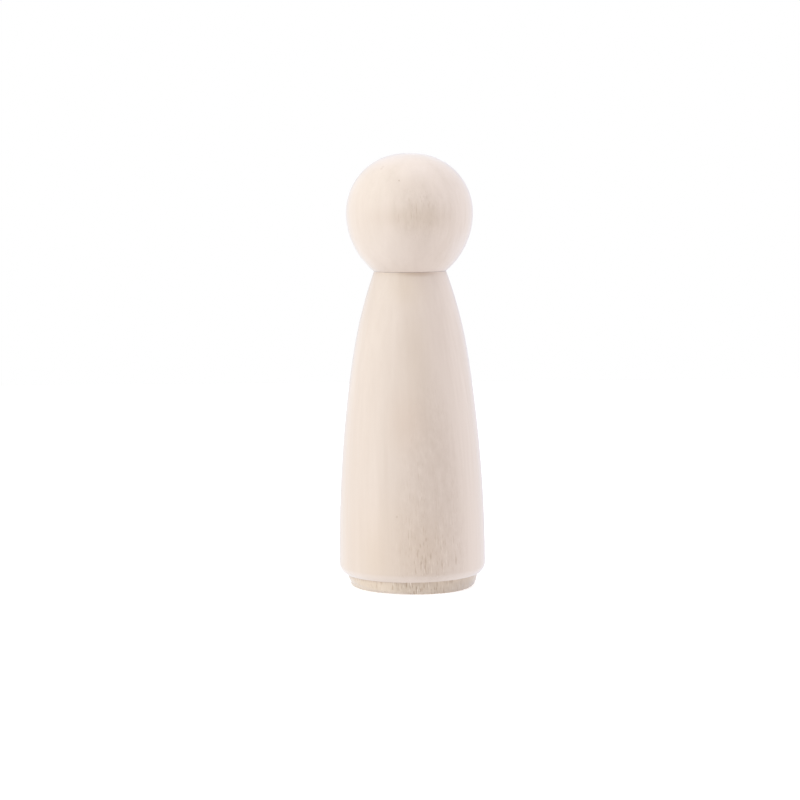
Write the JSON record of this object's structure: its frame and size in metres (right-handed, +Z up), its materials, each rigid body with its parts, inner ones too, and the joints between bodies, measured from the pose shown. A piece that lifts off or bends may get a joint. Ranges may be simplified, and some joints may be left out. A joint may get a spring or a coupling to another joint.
{
  "type": "peg doll",
  "caption": "Plain turned wooden peg doll with a ball head, a creased neck, a flared body and a stepped foot, standing free for painting, play or display.",
  "frame": {"origin": "centre of the foot's underside, the face that the doll stands on", "axes": "+Z up along the turning axis, from the foot to the crown; X and Y are free, because the doll is round and has no front"},
  "size_m": [0.0254, 0.0254, 0.075],
  "materials": {
    "head_wood": "bare pale wood, sanded matt",
    "body_wood": "bare pale wood, sanded matt",
    "foot_wood": "bare wood, sanded matt, a little yellower than the body",
    "dowel_wood": "bare dowel rod with rolled flutes"
  },
  "bodies": {
    "root": {"head": "head_wood", "neck_dowel": "dowel_wood", "body": "body_wood", "foot_plug": "foot_wood"}
  },
  "joints": []
}
